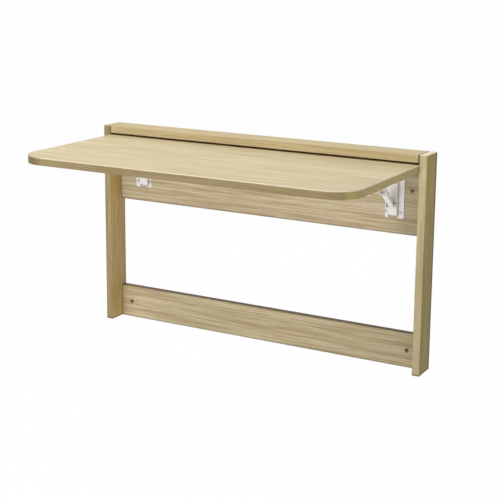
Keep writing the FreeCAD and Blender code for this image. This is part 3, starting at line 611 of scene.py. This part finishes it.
def recess_outline():
    """The cross of a screw's recess, one arm after the other."""
    arm, width = RECESS_ARM, RECESS_HALF_WIDTH
    quarter = [(arm, -width), (arm, width), (width, width)]
    cross = []
    for _ in range(4):
        cross += quarter
        quarter = [(-y, x) for x, y in quarter]
    return cross


def add_screw(work, matrix):
    """One pan-head screw with a cross recess; its head points along the matrix's Z."""
    def point(x, y, height):
        return matrix @ (Vector((x, y, height)) * MM)

    turn = circle(SCREW_SEGMENTS)
    rings = [[point(radius * x, radius * y, height) for x, y in turn] for radius, height in screw_profile()]
    corners = add_rings(work, rings)
    work.faces.new(corners[0])
    cross = recess_outline()
    top = SCREW_HEAD[-1][1]
    mouth = [work.verts.new(point(x, y, top)) for x, y in cross]
    small = [(x * RECESS_FLOOR_SHARE, y * RECESS_FLOOR_SHARE) for x, y in cross]
    floor = [work.verts.new(point(x, y, top - RECESS_DEPTH)) for x, y in small]
    edges = loop_edges(work, corners[-1]) + loop_edges(work, mouth)
    bmesh.ops.triangle_fill(work, use_beauty=True, edges=edges)
    join_rings(work, mouth, floor)
    work.faces.new(floor)


def make_screws(side, sign):
    """The bracket's wood screws, each turned its own way."""
    centre = middle_of(side + "_shelf_arm", X_AXIS)[0]
    work = bmesh.new()
    for index, (out, height) in enumerate(LEG_SCREWS):
        place = Matrix.Translation((centre + sign * out * MM, LEG_STEEL_Y * MM, height * MM))
        spin = Matrix.Rotation(math.radians(LEG_FIRST_SPIN + LEG_SPIN_STEP * index), 4, "Z")
        add_screw(work, place @ Matrix.Rotation(math.pi / 2, 4, "X") @ spin)
    finish_piece(side + "_leg_screws_cross", work, "frame", side + "_leg_screws", ZINC_SCREW)
    work = bmesh.new()
    for index, depth in enumerate(ARM_SCREWS):
        place = Matrix.Translation((centre, depth * MM, ARM_STEEL_Z * MM))
        spin = Matrix.Rotation(math.radians(ARM_FIRST_SPIN + ARM_SPIN_STEP * index), 4, "Z")
        add_screw(work, place @ Matrix.Rotation(math.pi, 4, "X") @ spin)
    finish_piece(side + "_arm_screws_cross", work, "leaf", side + "_arm_screws", ZINC_SCREW)


def spring_line(mirror):
    """Points of one torsion spring about the X axis: a leg, the coil and the other leg."""
    whole = 2 * math.pi * SPRING_TURNS - SPRING_START
    count = SPRING_TURNS * SPRING_STEPS
    coil = []
    for step in range(count + 1):
        share = step / count
        angle = SPRING_START + whole * share
        out = SPRING_INNER + (SPRING_OUTER - SPRING_INNER) * share
        round_pin = (SPRING_RADIUS * math.cos(angle), SPRING_RADIUS * math.sin(angle))
        coil.append(Vector((mirror * out, *round_pin)))
    first = Vector((0.0, math.sin(SPRING_START), -math.cos(SPRING_START)))
    last = Vector((0.0, 0.0, 1.0))
    return [coil[0] + first * SPRING_LEG] + coil + [coil[-1] + last * SPRING_LEG]


def wire_rings(line, centre):
    """Rings of wire round each point of a line."""
    rings = []
    for index, point in enumerate(line):
        ahead = (line[min(index + 1, len(line) - 1)] - line[max(index - 1, 0)]).normalized()
        outward = ahead.cross(Vector((1.0, 0.0, 0.0))).normalized()
        across = outward.cross(ahead)
        turn = [outward * x + across * y for x, y in circle(WIRE_SEGMENTS)]
        rings.append([centre + (point + way * SPRING_WIRE) * MM for way in turn])
    return rings


def make_springs(side):
    """The two torsion springs that return a release lever, wound round its pin."""
    low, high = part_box(side + "_lever_pin")
    centre = (Vector(low) + Vector(high)) / 2
    work = bmesh.new()
    for mirror in (-1, 1):
        corners = add_rings(work, wire_rings(spring_line(mirror), centre))
        work.faces.new(corners[0])
        work.faces.new(corners[-1])
    finish_piece(side + "_lever_springs_wound", work, "leaf", side + "_lever_springs", ZINC)


def white_to_camera(tree, lit, kind, white_share):
    """Mix a lit shader with plain white, seen only by rays from the camera, mirrors and glass."""
    nodes, links = tree.nodes, tree.links
    path = add(nodes, "ShaderNodeLightPath")
    glossy = add(nodes, "ShaderNodeMath", operation="MAXIMUM")
    seen = add(nodes, "ShaderNodeMath", operation="MAXIMUM")
    links.new(path.outputs["Is Camera Ray"], glossy.inputs[0])
    links.new(path.outputs["Is Glossy Ray"], glossy.inputs[1])
    links.new(glossy.outputs[0], seen.inputs[0])
    links.new(path.outputs["Is Transmission Ray"], seen.inputs[1])
    white = add(nodes, kind)
    white.inputs["Color"].default_value = WHITE
    white.inputs["Strength"].default_value = 1.0
    both = add(nodes, "ShaderNodeMixShader")
    links.new(product(nodes, links, seen.outputs[0], white_share), both.inputs[0])
    links.new(lit.outputs[0], both.inputs[1])
    links.new(white.outputs[0], both.inputs[2])
    return both


def make_floor():
    """A wide floor that is white to the camera, shows the object's shadow and is clear from below."""
    size = FLOOR_SIZE
    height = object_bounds()[0].z - FLOOR_DROP
    mesh = bpy.data.meshes.new("floor")
    corners = [(-size, -size, height), (size, -size, height), (size, size, height), (-size, size, height)]
    mesh.from_pydata(corners, [], [(0, 1, 2, 3)])
    floor = bpy.data.objects.new("floor", mesh)
    bpy.context.scene.collection.objects.link(floor)
    material, nodes, links, shader = new_material("floor")
    shader.inputs["Base Color"].default_value = FLOOR_COLOUR
    shader.inputs["Roughness"].default_value = FLOOR_ROUGHNESS
    both = white_to_camera(material.node_tree, shader, "ShaderNodeEmission", FLOOR_WHITE_SHARE)
    geometry = add(nodes, "ShaderNodeNewGeometry")
    path = add(nodes, "ShaderNodeLightPath")
    clear = add(nodes, "ShaderNodeBsdfTransparent")
    shown = add(nodes, "ShaderNodeMixShader")
    below = product(nodes, links, geometry.outputs["Backfacing"], path.outputs["Is Camera Ray"])
    links.new(below, shown.inputs[0])
    links.new(both.outputs[0], shown.inputs[1])
    links.new(clear.outputs[0], shown.inputs[2])
    links.new(shown.outputs[0], nodes["Material Output"].inputs["Surface"])
    mesh.materials.append(material)


def make_world():
    world = bpy.data.worlds.new("studio")
    bpy.context.scene.world = world
    world.use_nodes = True
    tree = world.node_tree
    light = tree.nodes["Background"]
    light.inputs["Color"].default_value = WHITE
    light.inputs["Strength"].default_value = WORLD_STRENGTH
    both = white_to_camera(tree, light, "ShaderNodeBackground", WORLD_WHITE_SHARE)
    tree.links.new(both.outputs[0], tree.nodes["World Output"].inputs["Surface"])


def area_light(name, place, aim, width, height, power):
    data = bpy.data.lights.new(name, "AREA")
    data.shape = "RECTANGLE"
    data.size = width
    data.size_y = height
    data.energy = power
    lamp = bpy.data.objects.new(name, data)
    bpy.context.scene.collection.objects.link(lamp)
    lamp.location = place
    lamp.rotation_mode = "QUATERNION"
    lamp.rotation_quaternion = (Vector(aim) - Vector(place)).to_track_quat("-Z", "Y")
    lamp.visible_glossy = False


def make_camera():
    data = bpy.data.cameras.new("camera")
    data.sensor_width = SENSOR
    data.lens = FOCAL_PIXELS * SENSOR / PICTURE
    data.shift_y = -(PICTURE / 2 - AXIS_PIXEL_Y) / PICTURE
    data.clip_start = CLIP_START
    data.clip_end = CLIP_END
    camera = bpy.data.objects.new("camera", data)
    bpy.context.scene.collection.objects.link(camera)
    turn = Matrix.Rotation(CAMERA_YAW, 4, "Z")
    tilt = Matrix.Rotation(math.pi / 2 - CAMERA_PITCH, 4, "X")
    roll = Matrix.Rotation(CAMERA_ROLL, 4, "Z")
    camera.matrix_world = Matrix.Translation(CAMERA_PLACE) @ turn @ tilt @ roll
    bpy.context.scene.camera = camera


finish_nodes()
for side, sign in SIDES:
    make_screws(side, sign)
    make_springs(side)
make_floor()
make_world()
for lamp in LAMPS:
    area_light(*lamp)
make_camera()
bpy.context.scene.view_settings.view_transform = "Standard"
